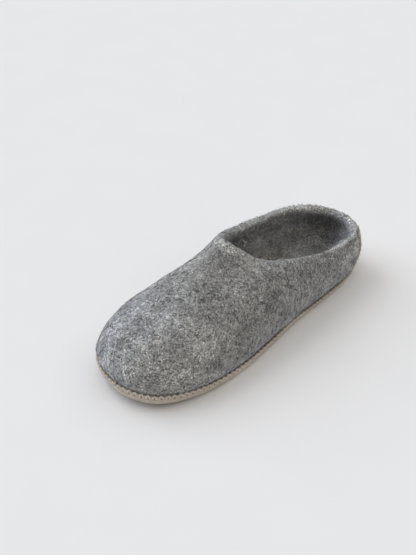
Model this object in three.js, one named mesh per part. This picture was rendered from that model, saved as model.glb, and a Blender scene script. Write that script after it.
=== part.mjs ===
import * as THREE from 'three';

// Felt slipper for the left foot. Millimetres, +Z up, toe towards -Y,
// lateral side towards +X, origin on the floor in the middle.

// Named sizes
const shoeLength = 270; // heel back to toe tip along the widest line
const ballWidth = 110; // outer width across the ball of the foot
const throatHeight = 75.5; // collar at the instep
const feltWall = 7.5; // thickness of the felt
const widestHeight = 18; // height of the widest line at the waist
const tuckDepth = 6.5; // how far the felt turns in under its widest line
const soleThickness = 3.5; // floor of the outsole
const lipHeight = 11; // top of the outsole's lip at the toe
const lipThickness = 1.7; // suede lip round the felt
const cornerShare = 0.5; // lower edge of the outsole, share of the lip's height
const soleTaper = 0.8; // how far the lip leans in towards the floor
const footbedThickness = 7; // felt insole
const toeSpring = 5; // rise of the sole at the toe tip
const heelSpring = 1.2; // rise of the sole at the heel back
const archRise = 1; // rise of the sole under the waist
const patchWidth = 76; // heel patch, measured round the heel
const patchThickness = 1.5;
const patchDrop = 5; // top of the heel patch below the collar edge
const clearance = 0.3; // between pieces that meet

// Plan of the upper at its widest line. Shares of shoeLength from the heel,
// half widths as shares of ballWidth.
const outlineTable = [
  { share: 0, lateral: 0, medial: 0 },
  { share: 0.02, lateral: 0.187, medial: 0.183 },
  { share: 0.06, lateral: 0.288, medial: 0.28 },
  { share: 0.13, lateral: 0.344, medial: 0.336 },
  { share: 0.25, lateral: 0.368, medial: 0.36 },
  { share: 0.4, lateral: 0.381, medial: 0.365 },
  { share: 0.55, lateral: 0.42, medial: 0.4 },
  { share: 0.68, lateral: 0.447, medial: 0.455 },
  { share: 0.8, lateral: 0.428, medial: 0.476 },
  { share: 0.9, lateral: 0.36, medial: 0.417 },
  { share: 0.96, lateral: 0.265, medial: 0.308 },
  { share: 0.985, lateral: 0.17, medial: 0.197 },
  { share: 1, lateral: 0, medial: 0 },
];

// Ridge of the closed form over the foot: height above the widest line as a
// share of throatHeight, sideways place as a share of ballWidth.
const ridgeTable = [
  { share: 0, height: 0, place: 0 },
  { share: 0.02, height: 0.808, place: 0 },
  { share: 0.08, height: 1.17, place: -0.005 },
  { share: 0.2, height: 1.29, place: -0.015 },
  { share: 0.4, height: 1.04, place: -0.045 },
  { share: 0.5, height: 0.818, place: -0.055 },
  { share: 0.6, height: 0.662, place: -0.06 },
  { share: 0.72, height: 0.555, place: -0.056 },
  { share: 0.84, height: 0.458, place: -0.045 },
  { share: 0.93, height: 0.346, place: -0.02 },
  { share: 1, height: 0, place: 0 },
];

// How square the cross-section is, at its side and over its top.
const fullnessTable = [
  { share: 0, side: 2.4, top: 2.4 },
  { share: 0.3, side: 2.4, top: 2.2 },
  { share: 0.5, side: 2, top: 1.8 },
  { share: 0.7, side: 2.1, top: 1.9 },
  { share: 1, side: 2.2, top: 2.2 },
];

// Collar: shares of its own length from the heel, half widths as shares of
// ballWidth, heights as shares of throatHeight.
const collarTable = [
  { share: 0, lateral: 0, medial: 0, lateralHeight: 0.592, medialHeight: 0.592 },
  { share: 0.08, lateral: 0.25, medial: 0.215, lateralHeight: 0.585, medialHeight: 0.622 },
  { share: 0.25, lateral: 0.318, medial: 0.316, lateralHeight: 0.592, medialHeight: 0.66 },
  { share: 0.5, lateral: 0.312, medial: 0.337, lateralHeight: 0.662, medialHeight: 0.718 },
  { share: 0.75, lateral: 0.248, medial: 0.294, lateralHeight: 0.76, medialHeight: 0.797 },
  { share: 0.92, lateral: 0.142, medial: 0.193, lateralHeight: 0.862, medialHeight: 0.91 },
  { share: 1, lateral: 0, medial: 0, lateralHeight: 1, medialHeight: 1 },
];
const collarBack = 0.015; // share of shoeLength where the collar begins
const collarFront = 0.546; // and where it ends at the throat

// Lower edge: shares of widestHeight, tuckDepth and lipHeight.
const edgeTable = [
  { share: 0, widest: 1.5, tuck: 1.4, lip: 0.47 },
  { share: 0.3, widest: 1.22, tuck: 1.1, lip: 0.53 },
  { share: 0.55, widest: 1.02, tuck: 0.95, lip: 0.615 },
  { share: 0.75, widest: 0.96, tuck: 0.86, lip: 0.76 },
  { share: 0.9, widest: 0.86, tuck: 0.76, lip: 0.9 },
  { share: 1, widest: 0.87, tuck: 0.76, lip: 1 },
];

// Where the sole leaves the floor, shares of shoeLength.
const sole = { heelEnd: 0.06, archFrom: 0.32, archTo: 0.58, toeFrom: 0.73 };

// Shape of the walls round the opening.
const wall = { leanAngle: 1.15, pull: 5, blendFrom: 0.4, blendTo: 0.72 };

const count = { around: 84, tuck: 4, dome: 14, rim: 3 };

const feather = soleThickness + clearance;
const rimRadius = feltWall / 2;

// Smooth curve through a table's column: each row takes its slope from the
// parabola through its neighbours. Half widths and ridge heights are joined
// by their squares so that the ends close round.
function curve(table, column, squared) {
  const xs = table.map((row) => row.share);
  const ys = table.map((row) => (squared ? row[column] ** 2 : row[column]));
  const last = xs.length - 1;
  const slopes = [];
  for (let i = 0; i < last; i += 1) {
    slopes.push((ys[i + 1] - ys[i]) / (xs[i + 1] - xs[i]));
  }
  const tangents = xs.map((x, i) => {
    const near = Math.min(Math.max(i, 1), last - 1);
    const before = xs[near] - xs[near - 1];
    const after = xs[near + 1] - xs[near];
    const bend = (slopes[near] - slopes[near - 1]) / (before + after);
    return slopes[near - 1] + bend * (2 * x - xs[near - 1] - xs[near]);
  });
  return (at) => {
    const x = Math.min(Math.max(at, xs[0]), xs[last]);
    let i = 0;
    while (i < last - 1 && x > xs[i + 1]) i += 1;
    const span = xs[i + 1] - xs[i];
    const t = (x - xs[i]) / span;
    const value = ys[i] * (1 + 2 * t) * (1 - t) ** 2
      + tangents[i] * span * t * (1 - t) ** 2
      + ys[i + 1] * t * t * (3 - 2 * t)
      + tangents[i + 1] * span * t * t * (t - 1);
    return squared ? Math.sqrt(Math.max(value, 0)) : value;
  };
}

const outlineLateral = curve(outlineTable, 'lateral', true);
const outlineMedial = curve(outlineTable, 'medial', true);
const ridgeHeight = curve(ridgeTable, 'height', true);
const ridgePlace = curve(ridgeTable, 'place', false);
const sideFullness = curve(fullnessTable, 'side', false);
const topFullness = curve(fullnessTable, 'top', false);
const collarLateral = curve(collarTable, 'lateral', true);
const collarMedial = curve(collarTable, 'medial', true);
const collarLateralHeight = curve(collarTable, 'lateralHeight', false);
const collarMedialHeight = curve(collarTable, 'medialHeight', false);
const edgeWidest = curve(edgeTable, 'widest', false);
const edgeTuck = curve(edgeTable, 'tuck', false);
const edgeLip = curve(edgeTable, 'lip', false);

const mix = (a, b, t) => a + (b - a) * t;
const clamp = (t) => Math.min(Math.max(t, 0), 1);
const shareAt = (turn) => 0.5 - 0.5 * Math.cos(turn);
const sideAt = (turn) => (turn <= Math.PI ? 1 : -1);
const lengthwise = (share) => shoeLength * (0.5 - share);

// Height of the sole's underside above the floor.
function lift(share) {
  const toe = clamp((share - sole.toeFrom) / (1 - sole.toeFrom));
  const heel = clamp((sole.heelEnd - share) / sole.heelEnd);
  const arch = clamp((share - sole.archFrom) / (sole.archTo - sole.archFrom));
  return toeSpring * toe ** 2 + heelSpring * heel ** 2
    + archRise * Math.sin(Math.PI * arch) ** 2;
}

function halfWidth(share, side) {
  return ballWidth * (side > 0 ? outlineLateral(share) : outlineMedial(share));
}

// Widest line of the upper in plan, with its outward direction. Turn runs
// from the heel back over the lateral side to the toe and back.
function outlinePoint(turn) {
  const share = shareAt(turn);
  return [sideAt(turn) * halfWidth(share, sideAt(turn)), lengthwise(share)];
}

function outlineNormal(turn) {
  const step = 0.02;
  const full = 2 * Math.PI;
  const before = outlinePoint((turn - step + full) % full);
  const after = outlinePoint((turn + step) % full);
  const along = [after[0] - before[0], after[1] - before[1]];
  const size = Math.hypot(along[0], along[1]);
  return [-along[1] / size, along[0] / size];
}

function collarPoint(turn) {
  const own = shareAt(turn);
  const side = sideAt(turn);
  const share = mix(collarBack, collarFront, own);
  const half = ballWidth * (side > 0 ? collarLateral(own) : collarMedial(own));
  const height = side > 0 ? collarLateralHeight(own) : collarMedialHeight(own);
  return {
    share,
    x: ballWidth * ridgePlace(share) * own + side * half,
    y: lengthwise(share),
    z: throatHeight * height,
  };
}

// Closed form over the foot: reach is 0 on the ridge and 1 on the widest line.
function formPoint(share, side, reach) {
  const middle = ballWidth * ridgePlace(share);
  const section = (1 - reach ** sideFullness(share)) ** (1 / topFullness(share));
  return [
    middle * (1 - reach) + side * reach * halfWidth(share, side),
    lengthwise(share),
    widestHeight * edgeWidest(share) + lift(share)
      + throatHeight * ridgeHeight(share) * section,
  ];
}

// One line of the upper's outside from the widest line to the collar. In
// front it follows the closed form, round the opening it is an upright wall.
function meridian(turn) {
  const side = sideAt(turn);
  const collar = collarPoint(turn);
  const middle = ballWidth * ridgePlace(collar.share);
  const half = halfWidth(collar.share, side);
  const reachEnd = clamp((side * (collar.x - middle)) / (half - side * middle));
  const acrossStart = Math.abs(Math.sin(turn));
  const alongStart = Math.cos(turn);
  const alongEnd = 1 - 2 * collar.share;
  const acrossEnd = reachEnd * Math.sqrt(1 - alongEnd ** 2);
  const atTip = acrossStart < 1e-9;
  const steps = 90;
  const points = [];
  const run = [0];
  for (let i = 0; i <= steps; i += 1) {
    const t = (i / steps) ** 2.2;
    const along = mix(alongStart, alongEnd, t);
    const across = mix(acrossStart, acrossEnd, t);
    const span = Math.sqrt(Math.max(1 - along ** 2, 1e-12));
    let reach = clamp(across / span);
    if (i === 0) reach = 1;
    if (atTip) reach = 0;
    points.push(formPoint((1 - along) / 2, side, reach));
    if (i > 0) {
      const [ax, ay, az] = points[i - 1];
      const [bx, by, bz] = points[i];
      run.push(run[i - 1] + Math.hypot(bx - ax, by - ay, bz - az));
    }
  }
  const total = run[steps];
  const end = points[steps];
  const start = points[0];
  const blend = clamp((Math.min(turn, 2 * Math.PI - turn) / Math.PI - wall.blendFrom)
    / (wall.blendTo - wall.blendFrom));
  const weight = blend * blend * (3 - 2 * blend);
  const goal = [collar.x, collar.y, collar.z];
  return (u) => {
    let i = 0;
    while (i < steps - 1 && run[i + 1] < u * total) i += 1;
    const t = (u * total - run[i]) / Math.max(run[i + 1] - run[i], 1e-9);
    const inward = (1 - Math.cos(wall.leanAngle * u)) / (1 - Math.cos(wall.leanAngle));
    const upward = Math.sin(wall.leanAngle * u) / Math.sin(wall.leanAngle);
    return goal.map((target, axis) => {
      const onForm = mix(points[i][axis], points[i + 1][axis], clamp(t))
        + (target - end[axis]) * u ** wall.pull;
      const onWall = mix(start[axis], target, axis < 2 ? inward : upward);
      return mix(onWall, onForm, weight);
    });
  };
}

// Under the widest line the felt turns in along a quarter of an ellipse.
// Angle 0 is the widest line and a right angle is the feather edge; the
// offset is measured outwards, square to that ellipse.
function tuckPoint(turn, angle, offset, shift = 0) {
  const share = shareAt(turn);
  const [x, y] = outlinePoint(turn);
  const [nx, ny] = outlineNormal(turn);
  const across = tuckDepth * edgeTuck(share);
  const down = widestHeight * edgeWidest(share) - feather;
  const size = Math.hypot(down * Math.cos(angle), across * Math.sin(angle));
  const out = (offset * down * Math.cos(angle)) / size - across * (1 - Math.cos(angle)) - shift;
  const drop = (offset * across * Math.sin(angle)) / size;
  return [
    x + nx * out,
    y + ny * out,
    lift(share) + feather + down * (1 - Math.sin(angle)) - drop,
  ];
}

// Angle on that ellipse where it stands at a height above the sole's underside.
function tuckAngle(share, height) {
  const down = widestHeight * edgeWidest(share) - feather;
  return Math.asin(clamp((down + feather - height) / down));
}

function turns(around) {
  return Array.from({ length: around }, (_, i) => (2 * Math.PI * i) / around);
}

const subtract = (a, b) => [a[0] - b[0], a[1] - b[1], a[2] - b[2]];
const add = (a, b, scale) => [a[0] + b[0] * scale, a[1] + b[1] * scale, a[2] + b[2] * scale];
const cross = (a, b) => [
  a[1] * b[2] - a[2] * b[1],
  a[2] * b[0] - a[0] * b[2],
  a[0] * b[1] - a[1] * b[0],
];
function unit(a) {
  const size = Math.hypot(a[0], a[1], a[2]);
  return [a[0] / size, a[1] / size, a[2] / size];
}

// Rings of points to a closed body. Each ring has the same number of points;
// bands join neighbouring rings, and either the last ring joins the first or
// both ends are closed by rungs across from side to side.
function ringBody(rings, looped) {
  const around = rings[0].length;
  const positions = rings.flat(2);
  const index = [];
  const bands = looped ? rings.length : rings.length - 1;
  for (let r = 0; r < bands; r += 1) {
    const here = r * around;
    const next = ((r + 1) % rings.length) * around;
    for (let i = 0; i < around; i += 1) {
      const j = (i + 1) % around;
      index.push(here + i, next + j, here + j);
      index.push(here + i, next + i, next + j);
    }
  }
  if (!looped) {
    const topRing = (rings.length - 1) * around;
    for (let i = 0; i < around / 2; i += 1) {
      const a = i;
      const b = (i + 1) % around;
      const c = (around - i) % around;
      const d = around - i - 1;
      if (a !== c) {
        index.push(a, b, c);
        index.push(topRing + a, topRing + c, topRing + b);
      }
      if (b !== d) {
        index.push(b, d, c);
        index.push(topRing + b, topRing + c, topRing + d);
      }
    }
  }
  return meshGeometry(positions, index);
}

function meshGeometry(positions, index) {
  const geometry = new THREE.BufferGeometry();
  geometry.setAttribute('position', new THREE.Float32BufferAttribute(positions, 3));
  geometry.setIndex(index);
  geometry.computeVertexNormals();
  return geometry;
}

// Upper: felt shell, open at the collar and underneath.
function upperGeometry() {
  const places = turns(count.around);
  const lines = places.map((turn) => meridian(turn));
  const outer = [];
  for (let k = 0; k <= count.dome; k += 1) {
    const u = (k / count.dome) ** 1.4;
    outer.push(lines.map((line) => line(u)));
  }
  const inner = outer.map((ring, k) => ring.map((point, i) => {
    const around = ring.length;
    const along = subtract(ring[(i + 1) % around], ring[(i + around - 1) % around]);
    const above = outer[Math.min(k + 1, count.dome)][i];
    const below = outer[Math.max(k - 1, 0)][i];
    const normal = k === 0
      ? [...outlineNormal(places[i]), 0]
      : unit(cross(subtract(above, below), along));
    return add(point, normal, -feltWall);
  }));
  const rim = [];
  for (let k = 1; k <= count.rim; k += 1) {
    const angle = (Math.PI * k) / (count.rim + 1);
    rim.push(outer[count.dome].map((edge, i) => {
      const centre = add(edge, subtract(inner[count.dome][i], edge), 0.5);
      const upward = unit(subtract(edge, outer[count.dome - 1][i]));
      const swung = add(centre, subtract(edge, centre), Math.cos(angle));
      return add(swung, upward, rimRadius * Math.sin(angle));
    }));
  }
  const tuck = [];
  const innerTuck = [];
  for (let k = 0; k < count.tuck; k += 1) {
    const angle = (Math.PI / 2) * (1 - k / count.tuck);
    tuck.push(places.map((turn) => tuckPoint(turn, angle, 0)));
    innerTuck.push(places.map((turn) => tuckPoint(turn, angle, 0, feltWall)));
  }
  return ringBody([
    ...tuck,
    ...outer,
    ...rim,
    ...inner.reverse(),
    ...innerTuck.reverse(),
  ], true);
}

// Outsole: suede cup with a lip that follows the felt.
function outsoleGeometry() {
  const places = turns(count.around);
  const ringOf = (make) => places.map((turn) => {
    const share = shareAt(turn);
    const [x, y] = outlinePoint(turn);
    const [nx, ny] = outlineNormal(turn);
    const lip = lipHeight * edgeLip(share);
    const angle = tuckAngle(share, lip);
    const outerFace = tuckDepth * edgeTuck(share) * (1 - Math.cos(angle))
      - clearance - lipThickness;
    const [inset, height] = make(outerFace, lip);
    return [x - nx * inset, y - ny * inset, lift(share) + height];
  });
  const crown = lipThickness * 0.3;
  const corner = (bend) => ringOf((face, lip) => [
    face + soleTaper + cornerShare * lip * (1 - Math.sin(bend)),
    cornerShare * lip * (1 - Math.cos(bend)),
  ]);
  const rings = [
    ...[0, 0.25, 0.6, 1].map((part) => corner((part * Math.PI) / 2)),
    ringOf((face, lip) => [face, lip - crown]),
    ringOf((face, lip) => [face + crown, lip]),
  ];
  const inside = 4;
  for (let k = 0; k <= inside; k += 1) {
    rings.push(places.map((turn) => {
      const share = shareAt(turn);
      const top = tuckAngle(share, lipHeight * edgeLip(share));
      return tuckPoint(turn, mix(top, Math.PI / 2, k / inside), clearance);
    }));
  }
  return ringBody(rings, false);
}

// Insole: felt footbed inside the upper's lower edge.
function insoleGeometry() {
  const places = turns(count.around);
  const round = footbedThickness * 0.25;
  const ringOf = (shift, height) => places.map((turn) => {
    const share = shareAt(turn);
    const [x, y] = outlinePoint(turn);
    const [nx, ny] = outlineNormal(turn);
    const inset = tuckDepth * edgeTuck(share) + feltWall + clearance + shift;
    return [x - nx * inset, y - ny * inset, lift(share) + feather + height];
  });
  return ringBody([
    ringOf(0, 0),
    ringOf(0, footbedThickness - round),
    ringOf(round, footbedThickness),
  ], false);
}

// Heel patch: suede laid on the felt's outside over the back of the heel.
function heelPatchGeometry() {
  const columns = 20;
  const rows = 12;
  const outside = (turn) => {
    const full = 2 * Math.PI;
    const place = (turn + full) % full;
    const line = meridian(place);
    return (u) => (u >= 0 ? line(u) : tuckPoint(place, (-u * Math.PI) / 2, 0));
  };
  const atHeight = (line, height) => {
    let low = -1;
    let high = 1;
    for (let i = 0; i < 40; i += 1) {
      const middle = (low + high) / 2;
      if (line(middle)[2] < height) low = middle;
      else high = middle;
    }
    return (low + high) / 2;
  };
  const bottom = lift(0) + lipHeight * edgeLip(0) + clearance;
  const top = collarPoint(0).z - patchDrop;
  const turnAlong = (distance) => {
    const step = 0.005;
    let turn = 0;
    let covered = 0;
    while (covered < Math.abs(distance)) {
      const here = outlinePoint(turn);
      const next = outlinePoint(turn + step);
      covered += Math.hypot(next[0] - here[0], next[1] - here[1]);
      turn += step;
    }
    return distance < 0 ? -turn : turn;
  };
  const sheet = (offset) => {
    const grid = [];
    for (let r = 0; r <= rows; r += 1) {
      const v = 1 - (1 - r / rows) ** 1.6;
      const half = (patchWidth / 2) * (1 - 0.32 * v ** 6);
      const row = [];
      for (let c = 0; c <= columns; c += 1) {
        const turn = turnAlong(((c / columns) * 2 - 1) * half);
        const height = mix(bottom, top, v);
        const step = 0.01;
        const line = outside(turn);
        const u = atHeight(line, height);
        const beside = subtract(outside(turn + step)(u), outside(turn - step)(u));
        const above = subtract(line(Math.min(u + step, 1)), line(u - step));
        const normal = unit(cross(above, beside));
        const level = normal[0] ** 2 + normal[1] ** 2;
        row.push(add(line(u), [normal[0], normal[1], 0], offset / level));
      }
      grid.push(row);
    }
    return grid;
  };
  const skin = sheet(clearance + patchThickness);
  const back = sheet(clearance);
  const border = [];
  const positions = [];
  const across = columns + 1;
  [skin, back].forEach((grid) => grid.forEach((row) => positions.push(...row.flat())));
  const behind = across * (rows + 1);
  const index = [];
  for (let r = 0; r < rows; r += 1) {
    for (let c = 0; c < columns; c += 1) {
      const a = r * across + c;
      const b = a + 1;
      const d = a + across;
      const e = d + 1;
      index.push(a, e, b, a, d, e);
      index.push(behind + a, behind + b, behind + e, behind + a, behind + e, behind + d);
    }
  }
  for (let c = 0; c < columns; c += 1) border.push(c);
  for (let r = 0; r < rows; r += 1) border.push(r * across + columns);
  for (let c = columns; c > 0; c -= 1) border.push(rows * across + c);
  for (let r = rows; r > 0; r -= 1) border.push(r * across);
  border.forEach((a, i) => {
    const b = border[(i + 1) % border.length];
    index.push(a, behind + b, behind + a, a, b, behind + b);
  });
  return meshGeometry(positions, index);
}

function piece(name, geometry, color, roughness) {
  const material = new THREE.MeshStandardMaterial({ color, roughness, metalness: 0 });
  const mesh = new THREE.Mesh(geometry, material);
  mesh.name = name;
  return mesh;
}

const group = new THREE.Group();
group.name = 'wool_slipper';
group.add(piece('upper', upperGeometry(), 0x86857f, 0.95));
group.add(piece('outsole', outsoleGeometry(), 0xa89a86, 0.9));
group.add(piece('insole', insoleGeometry(), 0x6b6862, 0.95));
group.add(piece('heel_patch', heelPatchGeometry(), 0xa3937d, 0.9));

// The origin is under the middle of the whole slipper.
const middle = new THREE.Box3().setFromObject(group).getCenter(new THREE.Vector3());
group.position.set(-middle.x, -middle.y, 0);

export default group;
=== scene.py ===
import bpy
import math
import numpy as np
from mathutils import Vector, Matrix, noise


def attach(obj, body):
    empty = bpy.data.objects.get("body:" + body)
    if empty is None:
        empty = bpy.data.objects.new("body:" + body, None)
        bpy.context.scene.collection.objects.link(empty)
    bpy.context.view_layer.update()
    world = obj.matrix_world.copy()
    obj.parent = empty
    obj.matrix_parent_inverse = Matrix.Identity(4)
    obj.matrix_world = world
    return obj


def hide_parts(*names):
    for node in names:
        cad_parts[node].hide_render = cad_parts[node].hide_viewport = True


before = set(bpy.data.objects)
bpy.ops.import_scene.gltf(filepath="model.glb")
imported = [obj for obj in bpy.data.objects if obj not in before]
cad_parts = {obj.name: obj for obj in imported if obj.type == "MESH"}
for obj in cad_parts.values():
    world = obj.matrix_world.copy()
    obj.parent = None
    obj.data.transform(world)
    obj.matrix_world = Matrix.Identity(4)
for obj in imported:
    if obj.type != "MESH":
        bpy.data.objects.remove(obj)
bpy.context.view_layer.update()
scene = bpy.context.scene
mm = 0.001

# sizes of the solids, in millimetres; a share is 0 at the heel and 1 at the toe
last = {
    "length": 270, "ballWidth": 110, "throatHeight": 75.5, "feltWall": 7.5,
    "widestHeight": 18, "tuckDepth": 6.5,  # the felt turns in under its widest line
    "soleThickness": 3.5, "cornerShare": 0.5, "soleTaper": 0.8,
    "lipHeight": 11, "lipThickness": 1.7,
    "footbed": 7, "clearance": 0.3,
    "toeSpring": 5, "heelSpring": 1.2, "archRise": 1,
    "heelEnd": 0.06, "archFrom": 0.32, "archTo": 0.58, "toeFrom": 0.73,  # shares
    "collarBack": 0.015, "collarFront": 0.546,  # shares
    "leanAngle": 1.15,  # how the wall bows beside the heel
    "blendFrom": 0.4, "blendTo": 0.72,  # from bowed wall to closed form
    "pull": 5, "formSteps": 301, "formCrowding": 2.2,  # closed form drawn up to the collar
    "origin": (1.946, -0.095),  # puts the box's middle on the frame's
}
feather = last["soleThickness"] + last["clearance"]  # where the felt sits on the sole

# share, lateral and medial half width
outlineRows = [
    (0, 0, 0), (0.02, 0.187, 0.183), (0.06, 0.288, 0.28), (0.13, 0.344, 0.336),
    (0.25, 0.368, 0.36), (0.4, 0.381, 0.365), (0.55, 0.42, 0.4), (0.68, 0.447, 0.455),
    (0.8, 0.428, 0.476), (0.9, 0.36, 0.417), (0.96, 0.265, 0.308), (0.985, 0.17, 0.197),
    (1, 0, 0),
]
# share, height of the ridge and its place sideways
ridgeRows = [
    (0, 0, 0), (0.02, 0.808, 0), (0.08, 1.17, -0.005), (0.2, 1.29, -0.015),
    (0.4, 1.04, -0.045), (0.5, 0.818, -0.055), (0.6, 0.662, -0.06), (0.72, 0.555, -0.056),
    (0.84, 0.458, -0.045), (0.93, 0.346, -0.02), (1, 0, 0),
]
# share, squareness at the side and over the top
fullRows = [(0, 2.4, 2.4), (0.3, 2.4, 2.2), (0.5, 2, 1.8), (0.7, 2.1, 1.9), (1, 2.2, 2.2)]
# share of the collar, half widths, heights
collarRows = [
    (0, 0, 0, 0.592, 0.592), (0.08, 0.25, 0.215, 0.585, 0.622),
    (0.25, 0.318, 0.316, 0.592, 0.66), (0.5, 0.312, 0.337, 0.662, 0.718),
    (0.75, 0.248, 0.294, 0.76, 0.797), (0.92, 0.142, 0.193, 0.862, 0.91), (1, 0, 0, 1, 1),
]
# share, widest line, tuck and lip
edgeRows = [
    (0, 1.5, 1.4, 0.47), (0.3, 1.22, 1.1, 0.53), (0.55, 1.02, 0.95, 0.615),
    (0.75, 0.96, 0.86, 0.76), (0.9, 0.86, 0.76, 0.9), (1, 0.87, 0.76, 1),
]


def smoothCurve(rows, column, squared=False):
    # a curve through one column of a table; squared keeps a round end round
    xs = np.array([row[0] for row in rows], float)
    ys = np.array([row[column] for row in rows], float)
    if squared:
        ys = ys ** 2
    end = len(xs) - 1
    slopes = np.diff(ys) / np.diff(xs)
    lean = []
    for i, x in enumerate(xs):
        near = min(max(i, 1), end - 1)
        bend = (slopes[near] - slopes[near - 1]) / (xs[near + 1] - xs[near - 1])
        lean.append(slopes[near - 1] + bend * (2 * x - xs[near - 1] - xs[near]))
    lean = np.array(lean)

    def valueAt(at):
        x = np.clip(at, xs[0], xs[-1])
        i = np.clip(np.searchsorted(xs, x, side="right") - 1, 0, end - 1)
        span = xs[i + 1] - xs[i]
        t = (x - xs[i]) / span
        value = (ys[i] * (1 + 2 * t) * (1 - t) ** 2 + lean[i] * span * t * (1 - t) ** 2
                 + ys[i + 1] * t * t * (3 - 2 * t) + lean[i + 1] * span * t * t * (t - 1))
        return np.sqrt(np.maximum(value, 0)) if squared else value
    return valueAt


outlineLateral = smoothCurve(outlineRows, 1, True)
outlineMedial = smoothCurve(outlineRows, 2, True)
ridgeHeight = smoothCurve(ridgeRows, 1, True)
ridgePlace = smoothCurve(ridgeRows, 2)
sideFull = smoothCurve(fullRows, 1)
topFull = smoothCurve(fullRows, 2)
collarLateral = smoothCurve(collarRows, 1, True)
collarMedial = smoothCurve(collarRows, 2, True)
collarLateralTop = smoothCurve(collarRows, 3)
collarMedialTop = smoothCurve(collarRows, 4)
edgeWidest = smoothCurve(edgeRows, 1)
edgeTuck = smoothCurve(edgeRows, 2)
edgeLip = smoothCurve(edgeRows, 3)


def shareAt(turn):
    return 0.5 - 0.5 * np.cos(turn)


def sideAt(turn):
    return np.where(np.mod(turn, 2 * math.pi) <= math.pi, 1.0, -1.0)


def soleLift(share):
    toe = np.clip((share - last["toeFrom"]) / (1 - last["toeFrom"]), 0, 1)
    heel = np.clip((last["heelEnd"] - share) / last["heelEnd"], 0, 1)
    arch = np.clip((share - last["archFrom"]) / (last["archTo"] - last["archFrom"]), 0, 1)
    return (last["toeSpring"] * toe ** 2 + last["heelSpring"] * heel ** 2
            + last["archRise"] * np.sin(math.pi * arch) ** 2)


def halfWidth(share, side):
    return last["ballWidth"] * np.where(side > 0, outlineLateral(share), outlineMedial(share))


def outlinePoint(turn):
    # widest line seen from above; turn 0 is the heel, then outer side, toe, inner side
    share = shareAt(turn)
    return np.stack([sideAt(turn) * halfWidth(share, sideAt(turn)),
                     last["length"] * (0.5 - share)], -1)


def outlineNormal(turn):
    step = 0.02  # a small turn either way
    along = outlinePoint(turn + step) - outlinePoint(turn - step)
    size = np.linalg.norm(along, axis=-1)
    return np.stack([-along[..., 1] / size, along[..., 0] / size], -1)


def collarPoint(turn):
    # share of the length and place of the collar's edge
    own = shareAt(turn)
    side = sideAt(turn)
    share = last["collarBack"] + (last["collarFront"] - last["collarBack"]) * own
    half = last["ballWidth"] * np.where(side > 0, collarLateral(own), collarMedial(own))
    top = np.where(side > 0, collarLateralTop(own), collarMedialTop(own))
    spot = np.stack([last["ballWidth"] * ridgePlace(share) * own + side * half,
                     last["length"] * (0.5 - share), last["throatHeight"] * top], -1)
    return share, spot


def wallGrid(turns, rows):
    # outside of the felt from its widest line (row 0) up to the collar (row 1)
    side = sideAt(turns)
    collarShare, goal = collarPoint(turns)
    middle = last["ballWidth"] * ridgePlace(collarShare)
    half = halfWidth(collarShare, side)
    reachEnd = np.clip(side * (goal[:, 0] - middle) / (half - side * middle), 0, 1)
    alongStart, acrossStart = np.cos(turns), np.abs(np.sin(turns))
    alongEnd = 1 - 2 * collarShare
    acrossEnd = reachEnd * np.sqrt(1 - alongEnd ** 2)
    t = (np.linspace(0, 1, last["formSteps"]) ** last["formCrowding"])[:, None]
    along = alongStart + (alongEnd - alongStart) * t
    across = acrossStart + (acrossEnd - acrossStart) * t
    reach = np.clip(across / np.sqrt(np.maximum(1 - along ** 2, 1e-12)), 0, 1)
    reach[0] = 1
    reach[:, acrossStart < 1e-9] = 0
    share = (1 - along) / 2
    ridge = last["ballWidth"] * ridgePlace(share)
    section = (1 - reach ** sideFull(share)) ** (1 / topFull(share))
    form = np.stack([
        ridge * (1 - reach) + side * reach * halfWidth(share, side[None, :] + 0 * share),
        last["length"] * (0.5 - share),
        last["widestHeight"] * edgeWidest(share) + soleLift(share)
        + last["throatHeight"] * ridgeHeight(share) * section,
    ], -1)
    run = np.concatenate([np.zeros((1, len(turns))),
                          np.cumsum(np.linalg.norm(np.diff(form, axis=0), axis=-1), 0)])
    folded = np.minimum(np.mod(turns, 2 * math.pi), 2 * math.pi - np.mod(turns, 2 * math.pi))
    blend = np.clip((folded / math.pi - last["blendFrom"])
                    / (last["blendTo"] - last["blendFrom"]), 0, 1)
    weight = (blend * blend * (3 - 2 * blend))[None, :, None]
    u = np.asarray(rows)[:, None]
    onForm = np.zeros((len(rows), len(turns), 3))
    for i in range(len(turns)):
        for axis in range(3):
            onForm[:, i, axis] = np.interp(u[:, 0] * run[-1, i], run[:, i], form[:, i, axis])
    onForm += (goal - form[-1])[None] * (u ** last["pull"])[..., None]
    lean = last["leanAngle"]
    inward = ((1 - np.cos(lean * u)) / (1 - math.cos(lean)))[..., None]
    upward = (np.sin(lean * u) / math.sin(lean))[..., None]
    rise = np.concatenate([inward, inward, upward], -1)
    onWall = form[0][None] + (goal - form[0])[None] * rise
    return onWall + (onForm - onWall) * weight


def tuckPoint(turn, angle, offset=0.0, shift=0.0):
    # under the widest line the felt turns in along a quarter of an ellipse
    share = shareAt(turn)
    base, normal = outlinePoint(turn), outlineNormal(turn)
    across = last["tuckDepth"] * edgeTuck(share)
    down = last["widestHeight"] * edgeWidest(share) - feather
    size = np.hypot(down * np.cos(angle), across * np.sin(angle))
    out = offset * down * np.cos(angle) / size - across * (1 - np.cos(angle)) - shift
    drop = offset * across * np.sin(angle) / size
    return np.stack([base[..., 0] + normal[..., 0] * out, base[..., 1] + normal[..., 1] * out,
                     soleLift(share) + feather + down * (1 - np.sin(angle)) - drop], -1)


def tuckAngle(share, height):
    down = last["widestHeight"] * edgeWidest(share) - feather
    return np.arcsin(np.clip((down + feather - height) / down, 0, 1))


def runAlong(spots):
    # distance walked along a row of points
    return np.concatenate([[0], np.cumsum(np.linalg.norm(np.diff(spots, axis=0), axis=1))])


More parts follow.
